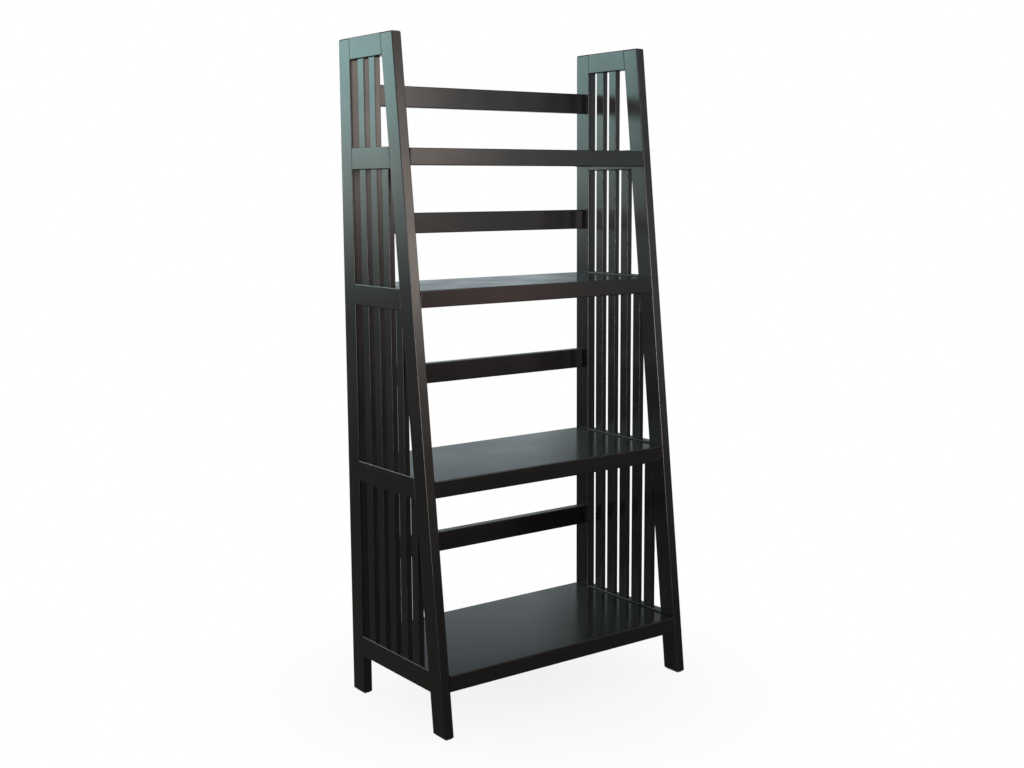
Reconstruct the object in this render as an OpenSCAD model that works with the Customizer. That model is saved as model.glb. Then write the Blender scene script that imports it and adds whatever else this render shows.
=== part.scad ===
// Folding bookstand rack: two slatted side frames with a raked front stile, four loose
// shelves on cleats, and four back rails that carry the frames on concealed barrel hinges.
// Millimetres. X runs left to right, the front looks along -Y, Z is up. The origin lies on
// the floor under the middle of the width and of the depth at the feet.

/* [Rack] */
// Width over both side frames
width = 610; // [480:5:760]
// Height of the stiles
height = 1305; // [1260:5:1420]
// Depth of a side frame at the floor
depth_bottom = 340; // [320:5:380]
// Depth of a side frame at its top
depth_top = 195; // [180:5:230]

/* [Side frames] */
// Thickness of the stock of stiles and rails
frame_t = 20; // [18:0.5:26]
// Width of the stiles, square to their length
stile_w = 41; // [34:0.5:46]
// Height of the rails of a side frame
rail_h = 41; // [36:0.5:48]
// Rounding of the long edges of the stock
edge_ease = 1.5; // [1:0.25:3]
// Chamfer round the floor end of a stile
foot_ease = 4.5; // [2:0.5:7]
// Chamfer round the top end of a stile
top_ease = 2.5; // [1:0.5:4]

/* [Slats] */
// Width of a slat
slat_w = 22.5; // [16:0.5:26]
// Thickness of a slat
slat_t = 12; // [9:0.5:14]
// Rounding of a slat's long edges
slat_ease = 1; // [0.5:0.25:2]
// Gap between the rear stile and the first slat
first_slat_gap = 22; // [15:0.5:30]
// Least gap between a bay's last slat and the front stile
last_slat_gap = 0.6; // [0.3:0.1:3]

/* [Shelves] */
// Height of the top face of shelf 1, the highest
shelf_1_z = 1095; // [1070:1:1110]
// Height of the top face of shelf 2
shelf_2_z = 834.5; // [800:0.5:860]
// Height of the top face of shelf 3
shelf_3_z = 483; // [450:1:500]
// Height of the top face of shelf 4, the lowest
shelf_4_z = 120; // [100:0.5:130]
// Step from a side rail's top down to its shelf
shelf_step = 3; // [1:0.5:6]
// Thickness of a shelf board
board_t = 15; // [12:0.5:16]
// Height of the lip along a shelf's front
lip_h = 32; // [28:1:38]
// Thickness of the lip
lip_t = 18; // [14:0.5:24]
// Depth of the rebate in the lip that the board sits in
lip_rebate = 8; // [4:0.5:10]
// Clearance between a shelf's end and the side frame
shelf_end_gap = 1; // [0.5:0.25:2]

/* [Back rails] */
// How far a back rail between two shelves lies above the middle of its clear bay
back_rail_lift = 3.5; // [0:0.5:12]
// Height of a back rail
back_rail_h = 41; // [34:0.5:46]
// Thickness of a back rail
back_rail_t = 20; // [18:0.5:24]
// Step from the rear stile's front edge back to the rail's face
back_rail_step = 2; // [1:0.5:4]
// Gap between a back rail's end and the stile
hinge_gap = 0.5; // [0.3:0.1:1]

/* [Shelf cleats] */
// Thickness of a cleat, out from the side frame
cleat_t = 12; // [10:0.5:16]
// Height of a cleat
cleat_h = 14; // [11:0.5:15]
// Distance from the rack's rear to a cleat
cleat_back = 10; // [5:1:30]
// Gap between a cleat's front end and the lip
cleat_lip_gap = 1; // [0.5:0.25:3]
// Distance from a stile to the nearest cleat screw
screw_inset = 25; // [18:1:35]

/* [Joinery and hardware] */
// Thickness of the tenon on a rail
tenon_t = 8; // [6:0.5:10]
// Length of the tenon on a rail
tenon_len = 20; // [12:1:24]
// Shoulder above and below a rail's tenon
tenon_shoulder = 6; // [4:0.5:9]
// Length of the tenon on a slat
slat_tenon_len = 10; // [6:0.5:11]
// Shoulder on each face and edge of a slat's tenon
slat_shoulder = 2; // [1.5:0.25:3]
// Glue space left at the bottom of a mortise
glue_gap = 0.2; // [0.1:0.1:0.5]
// Diameter of a cleat screw's shank
screw_d = 3.5; // [3:0.25:4.5]
// Diameter of a cleat screw's head
screw_head_d = 7; // [6:0.5:8]
// Length of a cleat screw
screw_len = 25; // [22:0.5:28]
// Length over the arms of the cross recess in a screw's head
recess_len = 3.6; // [3:0.1:4]
// Width of the arms of the cross recess
recess_w = 0.9; // [0.7:0.1:1.2]
// Depth of the cross recess
recess_depth = 1.2; // [0.8:0.1:1.4]
// Diameter of a hinge barrel
barrel_d = 12; // [10:0.5:13]
// Length of one barrel, the depth of its bore
barrel_len = 13; // [11:0.5:14]
// Thickness of the stack of hinge links
link_t = 4; // [3:0.25:5]
// Width of the stack of hinge links
link_w = 6; // [5:0.25:7]
// Diameter of a hinge pin
hinge_pin_d = 1.6; // [1.2:0.1:2]
// Play of the links in the barrels and of metal in its bore
metal_play = 0.05; // [0.03:0.01:0.1]

/* [Hidden] */
$fn = 32;
EASE_STEPS = 3;
LINK_END_SPACE = 1;
PIN_INSET = 4;
SIDES = ["left", "right"];
BAYS = [1, 2, 3, 4];
SLATS_IN_BAY = [0, 2, 3, 4, 5];

lacquer = [0.13, 0.115, 0.105];
shelf_lacquer = [0.16, 0.145, 0.14];
raw_hardwood = [0.23, 0.19, 0.16];
steel = [0.62, 0.62, 0.64];
brass = [0.72, 0.58, 0.28];

rear_y = depth_bottom / 2;
frame_in_x = width / 2 - frame_t;
shelf_tops = [0, shelf_1_z, shelf_2_z, shelf_3_z, shelf_4_z];
back_rail_front = stile_w - back_rail_step;
hinge_depth = back_rail_front - back_rail_t / 2;

rake = atan((depth_bottom - depth_top) / (height - foot_ease));
front_stile_w = stile_w / cos(rake);

// Distance from the rear plane to the raked front, at height z
function depth_at(z) = depth_bottom - (z - foot_ease) * tan(rake);
// The same to the rear edge of the front stile
function inner_depth_at(z) = depth_at(z) - front_stile_w;
// Y of a point that lies a distance in front of the rear plane
function y_of(depth) = rear_y - depth;

// Rail 0 is the top rail, and rail n carries shelf n
function rail_top(n) = n == 0 ? height : shelf_tops[n] + shelf_step;
function rail_bottom(n) = rail_top(n) - rail_h;
function shelf_depth(n) = depth_at(shelf_tops[n] - lip_h / 2);

// Back rail 1 crosses the open top bay halfway up, the others lie between two shelves
function back_rail_mid(n) = n == 1 ? (shelf_tops[1] + height) / 2
    : (shelf_tops[n] + shelf_tops[n - 1] - lip_h) / 2 + back_rail_lift;

// The slats of all bays stand in line, as far apart as the tightest bay allows
first_slat = stile_w + first_slat_gap;
slat_pitch = min([for (n = BAYS)
    (inner_depth_at(rail_bottom(n - 1)) - last_slat_gap - first_slat - slat_w)
    / (SLATS_IN_BAY[n] - 1)]);
function slat_rear(k) = first_slat + (k - 1) * slat_pitch;

// Cleats lie under the board, and end behind the lip
function cleat_top(n) = shelf_tops[n] - board_t;
function cleat_front(n) = shelf_depth(n) - lip_t - cleat_lip_gap;
function screw_z(n) = cleat_top(n) - cleat_h / 2;
function screw_depths(n) = [stile_w + screw_inset, inner_depth_at(screw_z(n)) - screw_inset];

SLAT_NODES = [for (side = SIDES, n = BAYS, k = [1:SLATS_IN_BAY[n]]) slat_node(side, n, k)];

function slat_node(side, bay, k) = str(side, "_slat_bay", bay, "_", k);

// One corner of an outline: an arc of radius r about c, or the bare corner where r is 0
function corner(c, r, start) = r == 0 ? [c] :
    [for (i = [0:EASE_STEPS]) let (a = start + 90 * i / EASE_STEPS)
        [c[0] + r * cos(a), c[1] + r * sin(a)]];

// Outline of a rectangle from the origin to [a, b], with its own rounding at each corner,
// in the order low left, low right, high right, high left
function outline(a, b, r) = concat(
    corner([r[0], r[0]], r[0], 180), corner([a - r[1], r[1]], r[1], 270),
    corner([a - r[2], b - r[2]], r[2], 0), corner([r[3], b - r[3]], r[3], 90));
function even(r) = [r, r, r, r];

// Extrusions along X of a [y, z] outline, and along -Y of an [x, z] outline
module along_x(length) { rotate([90, 0, 90]) linear_extrude(length) children(); }
module along_y(length) { rotate([90, 0, 0]) linear_extrude(length) children(); }

// What is drawn for the left side frame is mirrored for the right one
module on_side(side) {
    if (side == "left") children();
    else mirror([1, 0, 0]) children();
}

module in_frame() { translate([-width / 2, 0, 0]) children(); }

// --- Side frames -------------------------------------------------------------------

// Side view of a stile: its front lies front_0 before the rear plane at the floor and
// front_1 at the top, and its ends are chamfered
function stile_side(front_0, front_1, w) = let (
    lean = (front_0 - front_1) / height,
    front = function (z) front_0 - lean * z,
    rear = function (z) front(z) - w,
    high = height - top_ease) [
        [y_of(front(0) - foot_ease), 0], [y_of(rear(0) + foot_ease), 0],
        [y_of(rear(foot_ease)), foot_ease], [y_of(rear(high)), high],
        [y_of(rear(height) + top_ease), height], [y_of(front(height) - top_ease), height],
        [y_of(front(high)), high], [y_of(front(foot_ease)), foot_ease]];

// Front view of a stile, with its ends chamfered
stile_front = [
    [foot_ease, 0], [frame_t - foot_ease, 0], [frame_t, foot_ease],
    [frame_t, height - top_ease], [frame_t - top_ease, height],
    [top_ease, height], [0, height - top_ease], [0, foot_ease]];

module stile_blank(side_view, lean) {
    reach = height / cos(lean) + 2 * stile_w;
    intersection() {
        along_x(frame_t) polygon(side_view);
        translate([0, rear_y, 0]) along_y(depth_bottom) polygon(stile_front);
        translate([0, y_of(lean == 0 ? stile_w : depth_at(0)), 0]) rotate([-lean, 0, 0])
            translate([0, 0, -stile_w]) linear_extrude(reach)
            polygon(outline(frame_t, stile_w, even(edge_ease)));
    }
}

// Mortises that take the rail tenons, from the rear face of the front stile forwards or
// from the front face of the rear stile backwards
module rail_mortises(in_front) {
    x = (frame_t - tenon_t) / 2;
    h = rail_h - 2 * tenon_shoulder;
    for (n = concat([0], BAYS)) {
        z = rail_bottom(n) + tenon_shoulder;
        shoulder = in_front ? inner_depth_at(z + h) : stile_w;
        slope = inner_depth_at(z) - inner_depth_at(z + h);
        deep = tenon_len + glue_gap;
        far = in_front ? shoulder + deep + slope : shoulder;
        near = in_front ? shoulder - slope : shoulder - deep;
        translate([x, y_of(far), z]) cube([tenon_t, far - near, h]);
    }
}

module rear_stile(side) {
    color(lacquer) on_side(side) in_frame() difference() {
        stile_blank(stile_side(stile_w, stile_w, stile_w), 0);
        rail_mortises(false);
        for (n = BAYS)
            translate([frame_t - barrel_len, y_of(hinge_depth), back_rail_mid(n)])
                rotate([0, 90, 0]) cylinder(h = barrel_len + 1, d = barrel_d);
    }
}

module front_stile(side) {
    color(lacquer) on_side(side) in_frame() difference() {
        stile_blank(stile_side(depth_at(0), depth_at(height), front_stile_w), rake);
        rail_mortises(true);
    }
}

// The tenons at both ends of a rail, the front one cut to the rake
module rail_tenons(n) {
    h = rail_h - 2 * tenon_shoulder;
    low = rail_bottom(n) + tenon_shoulder;
    high = low + h;
    translate([(frame_t - tenon_t) / 2, 0, 0]) along_x(tenon_t) polygon([
        [y_of(stile_w - tenon_len), low], [y_of(stile_w - tenon_len), high],
        [y_of(inner_depth_at(high) + tenon_len), high],
        [y_of(inner_depth_at(high) + tenon_len), low]]);
}

module slat_mortises(bay, z) {
    a = slat_t - 2 * slat_shoulder;
    b = slat_w - 2 * slat_shoulder;
    for (k = [1:SLATS_IN_BAY[bay]])
        translate([(frame_t - a) / 2, y_of(slat_rear(k) + slat_w - slat_shoulder), z])
            cube([a, b, slat_tenon_len + glue_gap]);
}

// Rail n between the stiles, with mortises for the slats above and below it
module frame_rail(n) {
    low = rail_bottom(n);
    high = rail_top(n);
    difference() {
        union() {
            intersection() {
                along_x(frame_t) polygon([
                    [y_of(stile_w), low], [y_of(stile_w), high],
                    [y_of(inner_depth_at(high)), high], [y_of(inner_depth_at(low)), low]]);
                translate([0, rear_y, low]) along_y(depth_bottom)
                    polygon(outline(frame_t, rail_h, even(edge_ease)));
            }
            rail_tenons(n);
        }
        if (n > 0) slat_mortises(n, high - slat_tenon_len - glue_gap);
        if (n < len(BAYS)) slat_mortises(n + 1, low);
        if (n > 0) for (d = screw_depths(n))
            translate([frame_t, y_of(d), screw_z(n)]) rotate([0, -90, 0])
                cylinder(h = screw_len - cleat_t + glue_gap, d = screw_d + 2 * metal_play);
    }
}

module top_rail(side) { color(lacquer) on_side(side) in_frame() frame_rail(0); }

module side_rail(side, n) { color(lacquer) on_side(side) in_frame() frame_rail(n); }

// Slat k of a bay, counted from the rear stile, with a tenon at each end
module slat(side, bay, k) {
    low = rail_top(bay);
    high = rail_bottom(bay - 1);
    a = slat_t - 2 * slat_shoulder;
    b = slat_w - 2 * slat_shoulder;
    color(lacquer) on_side(side) in_frame()
        translate([(frame_t - slat_t) / 2, y_of(slat_rear(k) + slat_w), 0]) {
            translate([0, 0, low]) linear_extrude(high - low)
                polygon(outline(slat_t, slat_w, even(slat_ease)));
            translate([slat_shoulder, slat_shoulder, low - slat_tenon_len])
                cube([a, b, high - low + 2 * slat_tenon_len]);
        }
}

// --- Shelves -----------------------------------------------------------------------

shelf_half = frame_in_x - shelf_end_gap;

module shelf_board(n) {
    length = shelf_depth(n) - lip_t + lip_rebate;
    color(shelf_lacquer) translate([-shelf_half, y_of(length), shelf_tops[n] - board_t])
        intersection() {
            along_x(2 * shelf_half)
                polygon(outline(length, board_t, [0, edge_ease, edge_ease, 0]));
            translate([0, length, 0]) along_y(length)
                polygon(outline(2 * shelf_half, board_t, even(slat_ease)));
        }
}

module shelf_lip(n) {
    color(shelf_lacquer)
        translate([-shelf_half, y_of(shelf_depth(n)), shelf_tops[n] - lip_h])
        difference() {
            intersection() {
                along_x(2 * shelf_half)
                    polygon(outline(lip_t, lip_h, [edge_ease, slat_ease, 0, edge_ease]));
                linear_extrude(lip_h)
                    polygon(outline(2 * shelf_half, lip_t, [slat_ease, slat_ease, 0, 0]));
            }
            translate([-1, lip_t - lip_rebate, lip_h - board_t])
                cube([2 * shelf_half + 2, lip_rebate + 1, board_t + 1]);
        }
}

// Eight cleats, two for each shelf, countersunk for their screws
module shelf_cleats() {
    color(raw_hardwood) for (side = SIDES, n = BAYS) on_side(side)
        difference() {
            translate([-frame_in_x, y_of(cleat_back), cleat_top(n) - cleat_h])
                along_y(cleat_front(n) - cleat_back)
                polygon(outline(cleat_t, cleat_h, [0, edge_ease, 0, 0]));
            for (d = screw_depths(n)) cleat_screw_at(n, d, metal_play);
        }
}

// Places a screw at depth d in cleat n, with its head flush in the cleat's face
module at_cleat_screw(n, d) {
    translate([-frame_in_x + cleat_t, y_of(d), screw_z(n)]) rotate([0, -90, 0]) children();
}

// A countersunk screw without its recess, larger by the play where it cuts a bore
module cleat_screw_at(n, d, play) {
    head_h = (screw_head_d - screw_d) / 2;
    at_cleat_screw(n, d) {
        cylinder(h = screw_len, d = screw_d + 2 * play);
        cylinder(h = head_h, d1 = screw_head_d + 2 * play, d2 = screw_d + 2 * play);
    }
}

module cleat_screws() {
    color(steel) for (side = SIDES, n = BAYS, d = screw_depths(n)) on_side(side)
        difference() {
            cleat_screw_at(n, d, 0);
            at_cleat_screw(n, d) for (turn = [0, 90]) rotate(turn)
                translate([-recess_len / 2, -recess_w / 2, -1])
                cube([recess_len, recess_w, recess_depth + 1]);
        }
}

// --- Back rails and barrel hinges --------------------------------------------------

module back_rail(n) {
    half = frame_in_x - hinge_gap;
    color(lacquer) difference() {
        translate([-half, y_of(back_rail_front), back_rail_mid(n) - back_rail_h / 2])
            along_x(2 * half)
            polygon(outline(back_rail_t, back_rail_h, even(edge_ease)));
        for (side = SIDES) on_side(side)
            translate([-half - 1, y_of(hinge_depth), back_rail_mid(n)]) rotate([0, 90, 0])
                cylinder(h = barrel_len + 1, d = barrel_d);
    }
}

// Runs its children at each of the eight hinges, X away from the stile's inner face
module at_hinges() {
    for (side = SIDES, n = BAYS) on_side(side)
        translate([-frame_in_x, y_of(hinge_depth), back_rail_mid(n)]) children();
}

link_reach = 2 * PIN_INSET + hinge_gap + link_w;

module link_slot(extra) {
    translate([hinge_gap / 2, 0, 0])
        cube([link_reach + extra, link_w + extra, link_t + extra], center = true);
}

module hinge_pin_pair(play) {
    h = barrel_d - 2 * LINK_END_SPACE;
    for (x = [-PIN_INSET, hinge_gap + PIN_INSET])
        translate([x, 0, -h / 2]) cylinder(h = h, d = hinge_pin_d + 2 * play);
}

// Each hinge is two barrels, one in the stile and one in the rail's end
module hinge_barrels() {
    color(brass) at_hinges() difference() {
        union() {
            translate([-barrel_len, 0, 0]) rotate([0, 90, 0])
                cylinder(h = barrel_len, d = barrel_d - 2 * metal_play);
            translate([hinge_gap, 0, 0]) rotate([0, 90, 0])
                cylinder(h = barrel_len, d = barrel_d - 2 * metal_play);
        }
        link_slot(2 * metal_play);
        hinge_pin_pair(metal_play);
    }
}

module hinge_links() {
    color(steel) at_hinges() difference() {
        link_slot(0);
        hinge_pin_pair(metal_play);
    }
}

module hinge_pins() { color(steel) at_hinges() hinge_pin_pair(0); }

// --- The rack ----------------------------------------------------------------------

for (side = SIDES) {
    rear_stile(side);
    front_stile(side);
    top_rail(side);
    for (n = BAYS) {
        side_rail(side, n);
        for (k = [1:SLATS_IN_BAY[n]])
            slat(side, n, k);
    }
}
for (n = BAYS) {
    shelf_board(n);
    shelf_lip(n);
    back_rail(n);
}
shelf_cleats();
cleat_screws();
hinge_barrels();
hinge_links();
hinge_pins();
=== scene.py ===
# %% [markdown]
# # A black lacquered folding bookstand rack
#
# The rack is made of plain sticks and boards, so nothing here needs modelling again: the
# solids already have the real sizes, the eased edges and the butt joints. What makes the
# real thing look real is its finish. A dark lacquer has next to no colour of its own, and
# shows what stands around it. So this lesson spends its time on two things: the lacquer,
# and the studio that the lacquer mirrors.
#
# Everything is in metres. X runs left to right, the front looks along -Y, and Z is up.

# %% Load the rack
import math
import bpy
from mathutils import Matrix, Vector

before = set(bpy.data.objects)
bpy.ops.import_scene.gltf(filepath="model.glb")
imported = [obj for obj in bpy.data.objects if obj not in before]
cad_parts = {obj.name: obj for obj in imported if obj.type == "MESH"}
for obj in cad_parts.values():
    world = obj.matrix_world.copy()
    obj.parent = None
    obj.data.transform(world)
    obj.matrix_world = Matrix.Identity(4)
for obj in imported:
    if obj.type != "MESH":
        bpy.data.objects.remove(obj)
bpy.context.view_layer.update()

# %% [markdown]
# ## Sorting the pieces by grain
#
# A lacquered stick still shows which way its wood runs, because pores and tool marks lie
# along it. Three directions cover the rack: upright sticks, rails that run from back to
# front, and boards that run across. The names of the pieces say which is which, so a
# few words are enough to sort them.

# %% Sort the pieces
def pieces_with(*words):
    return [o for name, o in sorted(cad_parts.items()) if any(w in name for w in words)]


uprights = pieces_with("stile", "slat")
side_rails = pieces_with("top_rail", "side_rail")
back_rails = pieces_with("back_rail")
shelves = pieces_with("_board")
lips = pieces_with("_lip")
cleats = pieces_with("shelf_cleats")
print(len(uprights), "upright,", len(side_rails), "fore and aft,",
      len(back_rails) + len(shelves) + len(lips), "across")

# %% [markdown]
# ## Small helpers for shader nodes
#
# A node tree is easier to read when each node is made in one line and its inputs are
# named. `add_node` makes a node and fills its inputs: a value is set on the socket, and
# an output of another node is linked to it. `remap` turns a value into a soft ramp. The
# ramps below are kept as pairs, such as a height where a light starts and one where it
# is full.

# %% Make and wire nodes
def add_node(tree, kind, settings=None, **inputs):
    node = tree.nodes.new(kind)
    for key, value in (settings or {}).items():
        setattr(node, key, value)
    for key, value in inputs.items():
        socket = node.inputs[int(key[1:]) if key[1:].isdigit() else key.replace("_", " ")]
        if isinstance(value, bpy.types.NodeSocket):
            tree.links.new(value, socket)
        else:
            socket.default_value = value
    return node


def maths(tree, operation, a, b=0.0, c=0.0):
    settings = {"operation": operation, "use_clamp": operation == "MULTIPLY_ADD"}
    return add_node(tree, "ShaderNodeMath", settings, _0=a, _1=b, _2=c).outputs[0]


def remap(tree, value, low, high, to_low=0.0, to_high=1.0):
    node = add_node(tree, "ShaderNodeMapRange", {"interpolation_type": "SMOOTHSTEP"}, Value=value)
    node.inputs["From Min"].default_value = low
    node.inputs["From Max"].default_value = high
    node.inputs["To Min"].default_value = to_low
    node.inputs["To Max"].default_value = to_high
    return node.outputs["Result"]


def new_group(name, inputs, outputs):
    tree = bpy.data.node_groups.new(name, "ShaderNodeTree")
    for socket, (kind, value) in inputs.items():
        made = tree.interface.new_socket(name=socket, in_out="INPUT", socket_type=kind)
        made.default_value = value
    for socket in outputs:
        tree.interface.new_socket(name=socket, in_out="OUTPUT", socket_type="NodeSocketFloat")
    return tree, tree.nodes.new("NodeGroupInput").outputs, tree.nodes.new("NodeGroupOutput").inputs


print("helpers ready")

# %% [markdown]
# ## Effect 1: wood pores under the film
#
# Lacquer sinks a little into the pores of the wood as it dries. What is left are fine
# short furrows along the stick. A noise texture that is squeezed across the grain and
# stretched along it gives them. `Squeeze` says how far on each axis, so that the same
# group serves sticks that run any way.

# %% Build the pore effect
ACROSS, ALONG = 900.0, 35.0
PORE_EDGE = (0.56, 0.70)
FIGURE_SCALE = 0.09
FIGURE_WAVINESS = 0.4
FIGURE_EDGE = (0.35, 0.68)


def build_pores():
    tree, given, out = new_group(
        "wood_pores",
        {"Squeeze": ("NodeSocketVector", (ACROSS, ACROSS, ALONG))},
        ["Pores", "Figure"])
    place = add_node(tree, "ShaderNodeTexCoord").outputs["Object"]
    squeezed = add_node(tree, "ShaderNodeVectorMath", {"operation": "MULTIPLY"},
                        _0=place, _1=given["Squeeze"]).outputs[0]
    fine = add_node(tree, "ShaderNodeTexNoise", Vector=squeezed, Scale=1.0, Detail=2.0)
    tree.links.new(remap(tree, fine.outputs[0], *PORE_EDGE), out["Pores"])
    broad = add_node(tree, "ShaderNodeTexNoise", Vector=squeezed, Scale=FIGURE_SCALE,
                     Detail=3.0, Distortion=FIGURE_WAVINESS)
    tree.links.new(remap(tree, broad.outputs[0], *FIGURE_EDGE), out["Figure"])
    return tree


wood_pores = build_pores()
print(wood_pores.name, "gives", [s.name for s in wood_pores.interface.items_tree])

# %% [markdown]
# ## Effect 2: the sprayed film
#
# Sprayed lacquer dries with a faint ripple, called orange peel, and its gloss drifts from
# place to place. Both come from plain noise at two scales: about 4 mm for the ripple and
# about 9 cm for the drift.

# %% Build the film effect
RIPPLE_SCALE = 240.0
DRIFT_SCALE = 11.0
DRIFT_EDGE = (0.3, 0.7)


def build_film():
    tree, given, out = new_group(
        "sprayed_film",
        {"Ripple Scale": ("NodeSocketFloat", RIPPLE_SCALE),
         "Drift Scale": ("NodeSocketFloat", DRIFT_SCALE)},
        ["Ripple", "Drift"])
    place = add_node(tree, "ShaderNodeTexCoord").outputs["Object"]
    ripple = add_node(tree, "ShaderNodeTexNoise", Vector=place, Scale=given["Ripple Scale"],
                      Detail=1.0)
    drift = add_node(tree, "ShaderNodeTexNoise", Vector=place, Scale=given["Drift Scale"],
                     Detail=2.5)
    tree.links.new(ripple.outputs[0], out["Ripple"])
    tree.links.new(remap(tree, drift.outputs[0], *DRIFT_EDGE), out["Drift"])
    return tree


sprayed_film = build_film()
print(sprayed_film.name, "gives", [s.name for s in sprayed_film.interface.items_tree])

# %% [markdown]
# ## Effect 3: rubbed edges
#
# Where two faces meet, the film is thin, and handling rubs it through to the brown stain.
# The Bevel node bends the normal near an edge. Comparing it with the true normal gives a
# mask of the edges, whatever the mesh, and a noise breaks the mask up.

# %% Build the edge effect
RUBBED_REACH = 0.0022
BEVEL_SAMPLES = 6
BENT_NORMAL = (0.995, 0.90)
PATCH_SCALE = 70.0
PATCH_EDGE = (0.45, 0.7)


def build_rubbed():
    tree, given, out = new_group(
        "rubbed_edges",
        {"Reach": ("NodeSocketFloat", RUBBED_REACH), "Amount": ("NodeSocketFloat", 0.5)},
        ["Rubbed"])
    bent = add_node(tree, "ShaderNodeBevel", {"samples": BEVEL_SAMPLES},
                    Radius=given["Reach"]).outputs[0]
    true = add_node(tree, "ShaderNodeNewGeometry").outputs["True Normal"]
    facing = add_node(tree, "ShaderNodeVectorMath", {"operation": "DOT_PRODUCT"},
                      _0=bent, _1=true).outputs["Value"]
    edge = remap(tree, facing, *BENT_NORMAL)
    place = add_node(tree, "ShaderNodeTexCoord").outputs["Object"]
    patches = add_node(tree, "ShaderNodeTexNoise", Vector=place, Scale=PATCH_SCALE, Detail=3.0)
    broken = remap(tree, patches.outputs[0], *PATCH_EDGE)
    worn = maths(tree, "MULTIPLY", edge, broken)
    tree.links.new(maths(tree, "MULTIPLY", worn, given["Amount"]), out["Rubbed"])
    return tree


rubbed_edges = build_rubbed()
print(rubbed_edges.name, "gives", [s.name for s in rubbed_edges.interface.items_tree])

# %% [markdown]
# ## Effect 4: a breath of dust
#
# Even a clean rack has a little dust on what faces up. It dulls the gloss and greys the
# black. The upward part of the normal picks the faces, and fine noise makes the specks.

# %% Build the dust effect
FACING_UP = (0.6, 1.0)
SPECK_SCALE = 900.0
SPECK_EDGE = (0.45, 0.75)


def build_dust():
    tree, given, out = new_group(
        "settled_dust", {"Amount": ("NodeSocketFloat", 0.1)}, ["Dust"])
    normal = add_node(tree, "ShaderNodeNewGeometry").outputs["Normal"]
    up = add_node(tree, "ShaderNodeSeparateXYZ", Vector=normal).outputs["Z"]
    place = add_node(tree, "ShaderNodeTexCoord").outputs["Object"]
    specks = add_node(tree, "ShaderNodeTexNoise", Vector=place, Scale=SPECK_SCALE, Detail=2.0)
    lying = maths(tree, "MULTIPLY", remap(tree, up, *FACING_UP),
                  remap(tree, specks.outputs[0], *SPECK_EDGE))
    tree.links.new(maths(tree, "MULTIPLY", lying, given["Amount"]), out["Dust"])
    return tree


settled_dust = build_dust()
print(settled_dust.name, "gives", [s.name for s in settled_dust.interface.items_tree])

# %% [markdown]
# ## The lacquer
#
# Espresso lacquer is a nearly black film over a brown stain. Its colour is so dark that
# the Fresnel reflection does almost all the work: about 4 percent of the light when a
# face is seen square on, and over half of it when the view grazes a shelf. The
# Principled shader does this by itself from the index of refraction of lacquer, 1.5.
# The effects above only shift its colour, roughness and bump.

# %% Make materials and mix colours
def use_group(tree, group, **inputs):
    return add_node(tree, "ShaderNodeGroup", {"node_tree": group}, **inputs).outputs


def blend_colour(tree, factor, a, b):
    node = add_node(tree, "ShaderNodeMix", {"data_type": "RGBA"}, Factor=factor)
    for socket, value in ((node.inputs[6], a), (node.inputs[7], b)):
        if isinstance(value, bpy.types.NodeSocket):
            tree.links.new(value, socket)
        else:
            socket.default_value = value
    return node.outputs[2]


def new_material(name):
    material = bpy.data.materials.new(name)
    material.use_nodes = True
    tree = material.node_tree
    return material, tree, tree.nodes["Principled BSDF"]


print("materials can be made")

# %% Write the recipe of the lacquer
LACQUER_BLACK = (0.0050, 0.0041, 0.0035, 1.0)
STAIN_BROWN = (0.060, 0.032, 0.020, 1.0)
DUST_GREY = (0.20, 0.19, 0.18, 1.0)
LACQUER_IOR = 1.5
FIGURE_SHOWING = 0.05
GLOSS_DRIFT = 0.05
DULLED_BY_RUBBING = 0.3
DULLED_BY_DUST = 0.5
PORE_DEPTH = 0.25
EASED_RADIUS = 0.0008
FILM_BUMP = 0.25
FILM_RIPPLE_HEIGHT = 0.00003


def lacquer(name, squeeze, roughness, rubbed, dust):
    material, tree, shader = new_material(name)
    pores = use_group(tree, wood_pores, Squeeze=squeeze)
    film = use_group(tree, sprayed_film)
    edges = use_group(tree, rubbed_edges, Reach=RUBBED_REACH, Amount=rubbed)["Rubbed"]
    dusty = use_group(tree, settled_dust, Amount=dust)["Dust"]
    tinted = blend_colour(tree, maths(tree, "MULTIPLY", pores["Figure"], FIGURE_SHOWING),
                          LACQUER_BLACK, STAIN_BROWN)
    worn = blend_colour(tree, edges, tinted, STAIN_BROWN)
    colour = blend_colour(tree, dusty, worn, DUST_GREY)
    tree.links.new(colour, shader.inputs["Base Color"])
    drift = maths(tree, "MULTIPLY_ADD", film["Drift"], GLOSS_DRIFT, roughness)
    dulled = maths(tree, "MULTIPLY_ADD", edges, DULLED_BY_RUBBING, drift)
    tree.links.new(maths(tree, "MULTIPLY_ADD", dusty, DULLED_BY_DUST, dulled),
                   shader.inputs["Roughness"])
    height = maths(tree, "MULTIPLY_ADD", pores["Pores"], -PORE_DEPTH, film["Ripple"])
    round_edge = add_node(tree, "ShaderNodeBevel", {"samples": BEVEL_SAMPLES},
                          Radius=EASED_RADIUS).outputs[0]
    bump = add_node(tree, "ShaderNodeBump", Height=height, Normal=round_edge,
                    Strength=FILM_BUMP, Distance=FILM_RIPPLE_HEIGHT)
    tree.links.new(bump.outputs[0], shader.inputs["Normal"])
    shader.inputs["IOR"].default_value = LACQUER_IOR
    return material


print("lacquer over stain, index of refraction", LACQUER_IOR)

# %% [markdown]
# Every grain direction gets its own lacquer. The shelf boards get one more, because their
# tops mirror the room more sharply in the photograph than the sticks do. Dust settles on
# what lies level, so the uprights have none.

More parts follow.
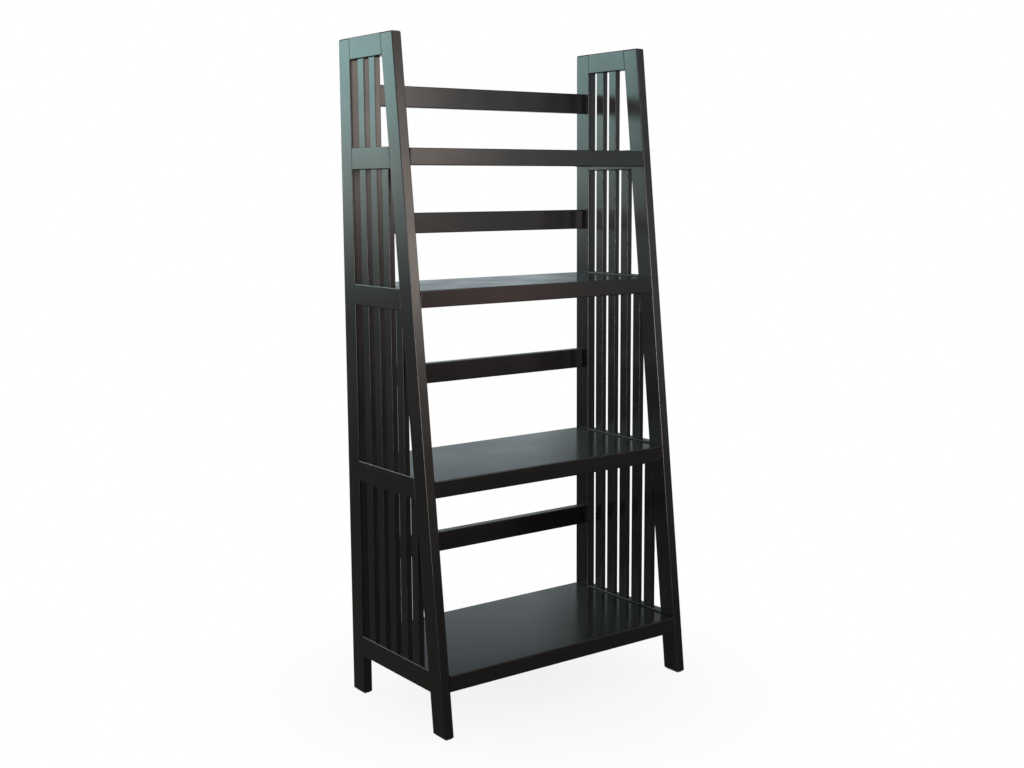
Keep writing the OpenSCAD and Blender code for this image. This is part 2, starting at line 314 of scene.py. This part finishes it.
# %% Make the lacquers
ALONG_X, ALONG_Y, ALONG_Z = ((ALONG, ACROSS, ACROSS), (ACROSS, ALONG, ACROSS),
                             (ACROSS, ACROSS, ALONG))
SATIN, GLOSSY = 0.20, 0.15
RUBBED = 0.35
NO_DUST, THIN_DUST = 0.0, 0.03

lacquer_upright = lacquer("lacquer_upright", ALONG_Z, SATIN, RUBBED, NO_DUST)
lacquer_fore_aft = lacquer("lacquer_fore_aft", ALONG_Y, SATIN, RUBBED, THIN_DUST)
lacquer_across = lacquer("lacquer_across", ALONG_X, SATIN, RUBBED, THIN_DUST)
lacquer_shelf = lacquer("lacquer_shelf", ALONG_X, GLOSSY, RUBBED, THIN_DUST)
print("lacquers:", [m.name for m in bpy.data.materials if m.name.startswith("lacquer")])

# %% [markdown]
# ## The stained cleats
#
# The cleats sit out of sight under the shelves. A maker stains them dark and leaves them
# without lacquer, so they are matt and show more grain.

# %% Make the stained hardwood
STAINED_DARK = (0.022, 0.014, 0.009, 1.0)
STAINED_LIGHT = (0.060, 0.038, 0.024, 1.0)
PORES_DARKER = 0.6
MATT, MATT_DRIFT = 0.55, 0.12
OPEN_PORE_BUMP = 0.4
OPEN_PORE_DEPTH = 0.0001


def stained_wood(name, squeeze):
    material, tree, shader = new_material(name)
    pores = use_group(tree, wood_pores, Squeeze=squeeze)
    figure = blend_colour(tree, pores["Figure"], STAINED_DARK, STAINED_LIGHT)
    colour = blend_colour(tree, maths(tree, "MULTIPLY", pores["Pores"], PORES_DARKER), figure,
                          STAINED_DARK)
    tree.links.new(colour, shader.inputs["Base Color"])
    tree.links.new(maths(tree, "MULTIPLY_ADD", pores["Figure"], MATT_DRIFT, MATT),
                   shader.inputs["Roughness"])
    bump = add_node(tree, "ShaderNodeBump", {"invert": True}, Height=pores["Pores"],
                    Strength=OPEN_PORE_BUMP, Distance=OPEN_PORE_DEPTH)
    tree.links.new(bump.outputs[0], shader.inputs["Normal"])
    return material


stained_hardwood = stained_wood("stained_hardwood", ALONG_Y)
print("cleats get", stained_hardwood.name)

# %% [markdown]
# ## Screws and hinges
#
# The metal is small and mostly hidden: countersunk screws in the cleats, and barrel
# hinges let into the ends of the back rails. Plating and turning leave fine scratches,
# so one recipe with a different colour serves all three.

# %% Make the metals
ZINC = (0.60, 0.61, 0.62, 1.0)
BRASS = (0.72, 0.52, 0.22, 1.0)
BRIGHT_STEEL = (0.56, 0.57, 0.58, 1.0)
TOOL_MARK_SCALE = 1800.0
TARNISH_SCALE = 260.0
TARNISHED = 0.6
TOOL_MARK_ROUGHNESS = 0.25


def metal(name, colour, roughness):
    material, tree, shader = new_material(name)
    film = use_group(tree, sprayed_film, Ripple_Scale=TOOL_MARK_SCALE,
                     Drift_Scale=TARNISH_SCALE)
    darker = tuple(TARNISHED * c for c in colour[:3]) + (1.0,)
    tree.links.new(blend_colour(tree, film["Drift"], darker, colour),
                   shader.inputs["Base Color"])
    tree.links.new(maths(tree, "MULTIPLY_ADD", film["Ripple"], TOOL_MARK_ROUGHNESS, roughness),
                   shader.inputs["Roughness"])
    shader.inputs["Metallic"].default_value = 1.0
    return material


zinc_steel = metal("zinc_steel", ZINC, 0.25)
turned_brass = metal("turned_brass", BRASS, 0.18)
bright_steel = metal("bright_steel", BRIGHT_STEEL, 0.20)
print("metals:", zinc_steel.name, turned_brass.name, bright_steel.name)

# %% [markdown]
# ## Giving out the finishes
#
# Each finish goes to the pieces that were sorted at the start. The last line names every
# piece that got none, so that a new piece can't be forgotten.

# %% Give every piece its finish
def finish_with(objects, material):
    for o in objects:
        o.data.materials.clear()
        o.data.materials.append(material)


finish_with(uprights, lacquer_upright)
finish_with(side_rails, lacquer_fore_aft)
finish_with(back_rails + lips, lacquer_across)
finish_with(shelves, lacquer_shelf)
finish_with(cleats, stained_hardwood)
finish_with(pieces_with("cleat_screws"), zinc_steel)
finish_with(pieces_with("hinge_barrels"), turned_brass)
finish_with(pieces_with("hinge_links", "hinge_pins"), bright_steel)
bare = [n for n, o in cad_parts.items() if not o.data.materials]
print("pieces without a finish:", bare)

# %% [markdown]
# ## The camera
#
# The photograph was taken from the left front, a little under the height of the top
# shelf. Its lens and place were found by lining up the corners of the rack, so that
# every corner here falls on the same spot of a picture 1024 points wide.

# %% Place the camera
PICTURE_WIDTH = 1024
FOCAL_LENGTH_IN_POINTS = 1344.35
SENSOR_WIDTH = 36.0
CAMERA_PLACE = (-1.6129, -2.1648, 1.0197)
CAMERA_TURN, CAMERA_DOWN, CAMERA_ROLL = -0.6342, 0.1444, -0.0060

camera = bpy.data.objects.new("camera", bpy.data.cameras.new("camera"))
bpy.context.scene.collection.objects.link(camera)
camera.data.sensor_width = SENSOR_WIDTH
camera.data.lens = FOCAL_LENGTH_IN_POINTS / PICTURE_WIDTH * SENSOR_WIDTH
camera.location = CAMERA_PLACE
turned = (Matrix.Rotation(CAMERA_TURN, 3, "Z")
          @ Matrix.Rotation(math.pi / 2 - CAMERA_DOWN, 3, "X")
          @ Matrix.Rotation(CAMERA_ROLL, 3, "Z"))
camera.rotation_euler = turned.to_euler()
bpy.context.scene.camera = camera
print("lens", round(camera.data.lens, 2), "mm")

# %% [markdown]
# ## The white studio
#
# The background is white because its colour is white where the camera, a reflection or a
# clear material looks at it. To the rest of the light the sky is a soft pale grey. The
# floor is mostly that same white. Near the rack it has a share of plain pale paint, so that
# it keeps a soft shadow under the feet, and the share fades out before the horizon.

# %% Build the sky and the floor
SOFT_SKY = (0.62, 0.63, 0.65, 1.0)
WHITE = (1.0, 1.0, 1.0, 1.0)
FLOOR_PAINT = (0.80, 0.80, 0.79, 1.0)
FLOOR_WHITE_NEAR, FLOOR_WHITE_FAR = 0.86, 1.0
SHADOW_REACH = 0.75
FLOOR_RADIUS = 40.0
FLOOR_ROUGHNESS = 0.9
DISC_SIDES = 96


def seen_directly(tree):
    path = add_node(tree, "ShaderNodeLightPath").outputs
    first = maths(tree, "MAXIMUM", path["Is Camera Ray"], path["Is Glossy Ray"])
    return maths(tree, "MAXIMUM", first, path["Is Transmission Ray"])


world = bpy.data.worlds.new("soft_sky")
bpy.context.scene.world = world
world.use_nodes = True
sky = world.node_tree
sky.links.new(blend_colour(sky, seen_directly(sky), SOFT_SKY, WHITE),
              sky.nodes["Background"].inputs["Color"])


def ring_of(radius, height, sides):
    return [(radius * math.cos(2 * math.pi * i / sides),
             radius * math.sin(2 * math.pi * i / sides), height) for i in range(sides)]


def disc(name, radius, height):
    mesh = bpy.data.meshes.new(name)
    mesh.from_pydata(ring_of(radius, height, DISC_SIDES), [], [list(range(DISC_SIDES))])
    made = bpy.data.objects.new(name, mesh)
    bpy.context.scene.collection.objects.link(made)
    return made


floor = disc("pale_floor", FLOOR_RADIUS, 0.0)
paint, paint_tree, paint_shader = new_material("pale_floor")
paint_shader.inputs["Base Color"].default_value = FLOOR_PAINT
paint_shader.inputs["Roughness"].default_value = FLOOR_ROUGHNESS
paint_shader.inputs["Specular IOR Level"].default_value = 0.0
glow = add_node(paint_tree, "ShaderNodeEmission", Color=WHITE, Strength=1.0)
here = add_node(paint_tree, "ShaderNodeNewGeometry").outputs["Position"]
from_rack = add_node(paint_tree, "ShaderNodeVectorMath", {"operation": "LENGTH"}, _0=here)
whiteness = remap(paint_tree, from_rack.outputs["Value"], 0.0, SHADOW_REACH,
                  FLOOR_WHITE_NEAR, FLOOR_WHITE_FAR)
share = maths(paint_tree, "MULTIPLY", seen_directly(paint_tree), whiteness)
mixed = add_node(paint_tree, "ShaderNodeMixShader", _0=share, _1=paint_shader.outputs[0],
                 _2=glow.outputs[0])
paint_tree.links.new(mixed.outputs[0], paint_tree.nodes["Material Output"].inputs["Surface"])
finish_with([floor], paint)
print("floor", FLOOR_RADIUS, "m in radius")

# %% [markdown]
# ## The room in the lacquer
#
# Black lacquer takes its look from the room. In the photograph the low parts of the rack
# are black, as over a dark floor. The shelf tops are blue grey, as if they mirrored a lit
# wall, and dark again at their right ends. The upper left is pale, like a window. A
# photographer sets this up with dark flags on the floor and around the set, and large
# scrims in front of the lamps. Here the camera sees none of them, and the flags show in
# reflections alone.

# %% Make surfaces that glow
def mirrored_only(o):
    o.visible_camera = False
    o.visible_diffuse = False
    o.visible_transmission = False
    o.visible_volume_scatter = False
    o.visible_shadow = False


def plain_glow(name, colour_of):
    material = bpy.data.materials.new(name)
    material.use_nodes = True
    tree = material.node_tree
    tree.nodes.remove(tree.nodes["Principled BSDF"])
    glow = add_node(tree, "ShaderNodeEmission", Color=colour_of(tree), Strength=1.0)
    tree.links.new(glow.outputs[0], tree.nodes["Material Output"].inputs["Surface"])
    return material


def position_on(tree, axis):
    place = add_node(tree, "ShaderNodeNewGeometry").outputs["Position"]
    return add_node(tree, "ShaderNodeSeparateXYZ", Vector=place).outputs[axis]


print("glowing surfaces can be made")

# %% Lay the dark floor
FLAG_RADIUS = 3.4
FLAG_ABOVE_FLOOR = 0.002
DARK_FLOOR = (0.115, 0.120, 0.110, 1.0)


def floor_colour(_tree):
    return DARK_FLOOR


floor_flag = disc("floor_flag", FLAG_RADIUS, FLAG_ABOVE_FLOOR)
finish_with([floor_flag], plain_glow("floor_flag", floor_colour))
mirrored_only(floor_flag)
print("dark floor out to", FLAG_RADIUS, "m")

# %% [markdown]
# The wall is a round screen. From the floor up it turns from dark to blue grey, and from
# about the height of the top shelf it turns to a darker grey, though less so in front of
# the rack. Behind the rack and far to the right it is dark above one metre, and the right
# ends of the shelf tops mirror that part.

# %% Paint the wall
WALL_LOW = (0.20, 0.21, 0.21, 1.0)
WALL_LIT = (0.66, 0.76, 0.80, 1.0)
WALL_GREY = (0.23, 0.27, 0.29, 1.0)
WALL_DARK = (0.13, 0.15, 0.15, 1.0)
LIT_OVER_HEIGHT = (0.3, 1.1)
GREY_OVER_HEIGHT = (1.02, 1.40)
GREY_OVER_DEPTH, GREY_IN_FRONT, GREY_BEHIND = (-1.0, 0.0), 0.3, 1.0
DARK_OVER_X, DARK_OVER_DEPTH = (2.05, 2.25), (1.0, 1.4)
DARK_OVER_HEIGHT = (1.015, 1.05)


def wall_colour(tree):
    height, depth = position_on(tree, "Z"), position_on(tree, "Y")
    lit = blend_colour(tree, remap(tree, height, *LIT_OVER_HEIGHT), WALL_LOW, WALL_LIT)
    greyed = maths(tree, "MULTIPLY", remap(tree, height, *GREY_OVER_HEIGHT),
                   remap(tree, depth, *GREY_OVER_DEPTH, GREY_IN_FRONT, GREY_BEHIND))
    lit = blend_colour(tree, greyed, lit, WALL_GREY)
    dark = maths(tree, "MULTIPLY", remap(tree, position_on(tree, "X"), *DARK_OVER_X),
                 remap(tree, height, *DARK_OVER_HEIGHT))
    dark = maths(tree, "MULTIPLY", dark, remap(tree, depth, *DARK_OVER_DEPTH))
    return blend_colour(tree, dark, lit, WALL_DARK)


print("wall", WALL_LOW[:3], "to", WALL_LIT[:3], "to", WALL_GREY[:3])

# %% Stand the wall
WALL_HEIGHT = 6.0
WALL_SIDES = 64

low_rim = ring_of(FLAG_RADIUS, 0.0, WALL_SIDES)
high_rim = ring_of(FLAG_RADIUS, WALL_HEIGHT, WALL_SIDES)
panels = [(i, (i + 1) % WALL_SIDES, WALL_SIDES + (i + 1) % WALL_SIDES, WALL_SIDES + i)
          for i in range(WALL_SIDES)]
wall_mesh = bpy.data.meshes.new("wall_flag")
wall_mesh.from_pydata(low_rim + high_rim, [], panels)
wall_flag = bpy.data.objects.new("wall_flag", wall_mesh)
bpy.context.scene.collection.objects.link(wall_flag)
finish_with([wall_flag], plain_glow("wall_flag", wall_colour))
mirrored_only(wall_flag)
print("wall of", len(panels), "panels")

# %% [markdown]
# ## The lamps
#
# A scrim is an upright cloth with a lamp behind it, turned to face the rack. The first is
# the window. It stands behind and to the left, where the left faces of the rack mirror
# it. It gets brighter upwards, as above a sill, and fades out again near its top. Low
# down, a curtain dims its left part. Its colour goes from pale at the bottom to a cool
# green blue, and is plainer again at the top.
#
# The Light Path node counts the bounces, and light that is seen by way of two reflections
# is turned down. At full strength it makes the gaps between the slats lighter than they
# are in the photograph.

# %% Make a scrim
def scrim(name, middle, width, height, colour_of):
    low, high = middle[2] - height / 2, middle[2] + height / 2
    to_rack = Vector((-middle[0], -middle[1], 0.0)).normalized()
    along = Vector((-to_rack.y, to_rack.x, 0.0)) * (width / 2)
    base = Vector((middle[0], middle[1], 0.0))
    end, other = base - along, base + along
    points = [(end.x, end.y, low), (other.x, other.y, low),
              (other.x, other.y, high), (end.x, end.y, high)]
    mesh = bpy.data.meshes.new(name)
    mesh.from_pydata(points, [], [(0, 1, 2, 3)])
    made = bpy.data.objects.new(name, mesh)
    bpy.context.scene.collection.objects.link(made)
    finish_with([made], plain_glow(name, colour_of))
    made.visible_camera = False
    made.visible_shadow = False
    return made


def dimmed_when_twice_mirrored(tree, light, share):
    bounces = add_node(tree, "ShaderNodeLightPath").outputs["Glossy Depth"]
    return maths(tree, "MULTIPLY", light, remap(tree, bounces, 1.0, 2.0, 1.0, share))


print("scrims can be made")

# %% Choose the light of the window
WINDOW_PLACE, WINDOW_SIZE = (-1.86, 2.70, 1.60), (1.5, 2.6)
WINDOW_CLOTH = (0.21, 0.22, 0.22, 1.0)
DAYLIGHT_LOW_LEFT = (4.1, 4.5, 4.3, 1.0)
DAYLIGHT_LOW_RIGHT = (4.6, 5.7, 5.45, 1.0)
DAYLIGHT_MIDDLE = (2.8, 4.7, 4.6, 1.0)
DAYLIGHT_TOP = (3.2, 3.9, 3.8, 1.0)
LEFT_TO_RIGHT = (-2.00, -1.90)
LOW_TO_MIDDLE, MIDDLE_TO_TOP = (1.0, 1.6), (1.60, 1.85)
CURTAIN_OVER_X, CURTAIN_SHARE = (-2.14, -1.98), 0.25
CURTAIN_ENDS = (1.32, 1.55)
WINDOW_RISE = (0.47, 1.75)
WINDOW_FALL, WINDOW_FALL_SHARE = (2.2, 1.85), 0.12
WINDOW_TWICE = 0.4


def window_colour(tree):
    height, across = position_on(tree, "Z"), position_on(tree, "X")
    daylight = blend_colour(tree, remap(tree, across, *LEFT_TO_RIGHT),
                            DAYLIGHT_LOW_LEFT, DAYLIGHT_LOW_RIGHT)
    daylight = blend_colour(tree, remap(tree, height, *LOW_TO_MIDDLE), daylight,
                            DAYLIGHT_MIDDLE)
    daylight = blend_colour(tree, remap(tree, height, *MIDDLE_TO_TOP), daylight, DAYLIGHT_TOP)
    curtain = maths(tree, "MAXIMUM", remap(tree, across, *CURTAIN_OVER_X, CURTAIN_SHARE, 1.0),
                    remap(tree, height, *CURTAIN_ENDS))
    lit = maths(tree, "MULTIPLY", remap(tree, height, *WINDOW_RISE), curtain)
    lit = maths(tree, "MULTIPLY", lit, remap(tree, height, *WINDOW_FALL, WINDOW_FALL_SHARE, 1.0))
    lit = dimmed_when_twice_mirrored(tree, lit, WINDOW_TWICE)
    return blend_colour(tree, lit, WINDOW_CLOTH, daylight)


window_scrim = scrim("window_scrim", WINDOW_PLACE, *WINDOW_SIZE, window_colour)
print("hung", window_scrim.name)

# %% [markdown]
# The warm lamp stands to the front right, and the front faces mirror it. A small one, low
# down and farther to the right, gives the lip of the second shelf its reddish sheen. It
# is kept weak, because the back rails near that height mirror it as well.

# %% Choose the warm lights
WARM_PLACE, WARM_SIZE = (1.06, -2.60, 1.45), (0.86, 1.8)
LOW_WARM_PLACE, LOW_WARM_SIZE = (1.60, -2.38, 0.61), (0.70, 0.20)
WARM_CLOTH = (0.3, 0.29, 0.28, 1.0)
WARM_LAMP = (6.0, 5.2, 4.7, 1.0)
WARM_RISE, WARM_FALL = (0.80, 1.22), (2.5, 1.45)
WARM_TWICE = 0.1
LOW_WARM_LAMP = (4.8, 2.8, 2.5, 1.0)
LOW_WARM_FADE = (1.90, 1.33)


def warm_colour(tree):
    height = position_on(tree, "Z")
    lit = maths(tree, "MULTIPLY", remap(tree, height, *WARM_RISE), remap(tree, height, *WARM_FALL))
    lit = dimmed_when_twice_mirrored(tree, lit, WARM_TWICE)
    return blend_colour(tree, lit, WARM_CLOTH, WARM_LAMP)


def low_warm_colour(tree):
    lit = remap(tree, position_on(tree, "X"), *LOW_WARM_FADE)
    return blend_colour(tree, lit, WARM_CLOTH, LOW_WARM_LAMP)


warm_scrim = scrim("warm_scrim", WARM_PLACE, *WARM_SIZE, warm_colour)
low_warm_scrim = scrim("low_warm_scrim", LOW_WARM_PLACE, *LOW_WARM_SIZE, low_warm_colour)
mirrored_only(low_warm_scrim)
print("hung", warm_scrim.name, "and", low_warm_scrim.name)

# %% [markdown]
# Two more scrims are there for the edges. Every stick has rounded ones, and a rounded edge
# mirrors a whole arc of the room. One scrim hangs high up behind the rack and to the left,
# and draws the pale lines along the tops of the rails. The other stands to the left of
# the camera, and draws the thin line down the corner of the left front stile.

# %% Hang the scrims for the edges
EDGE_PLACE, EDGE_SIZE = (-1.30, 3.05, 2.70), (1.2, 1.6)
CORNER_PLACE, CORNER_SIZE = (-2.25, -2.40, 0.85), (2.6, 1.7)
EDGE_LAMP = (4.0, 4.1, 4.0, 1.0)
CORNER_ENDS = (5.0, 4.7, 4.5, 1.0)
CORNER_LAMP = (18.0, 16.6, 15.8, 1.0)
CORNER_RISE, CORNER_FALL = (0.1, 0.7), (1.45, 1.15)


def edge_colour(_tree):
    return EDGE_LAMP


def corner_colour(tree):
    height = position_on(tree, "Z")
    lit = maths(tree, "MULTIPLY", remap(tree, height, *CORNER_FALL),
                remap(tree, height, *CORNER_RISE))
    return blend_colour(tree, lit, CORNER_ENDS, CORNER_LAMP)


edge_scrim = scrim("edge_scrim", EDGE_PLACE, *EDGE_SIZE, edge_colour)
corner_scrim = scrim("corner_scrim", CORNER_PLACE, *CORNER_SIZE, corner_colour)
mirrored_only(edge_scrim)
mirrored_only(corner_scrim)
print("hung", edge_scrim.name, "and", corner_scrim.name)

# %% [markdown]
# ## Close
#
# The colours are shown with the Standard view transform.

# %% Set the view transform
bpy.context.scene.view_settings.view_transform = "Standard"
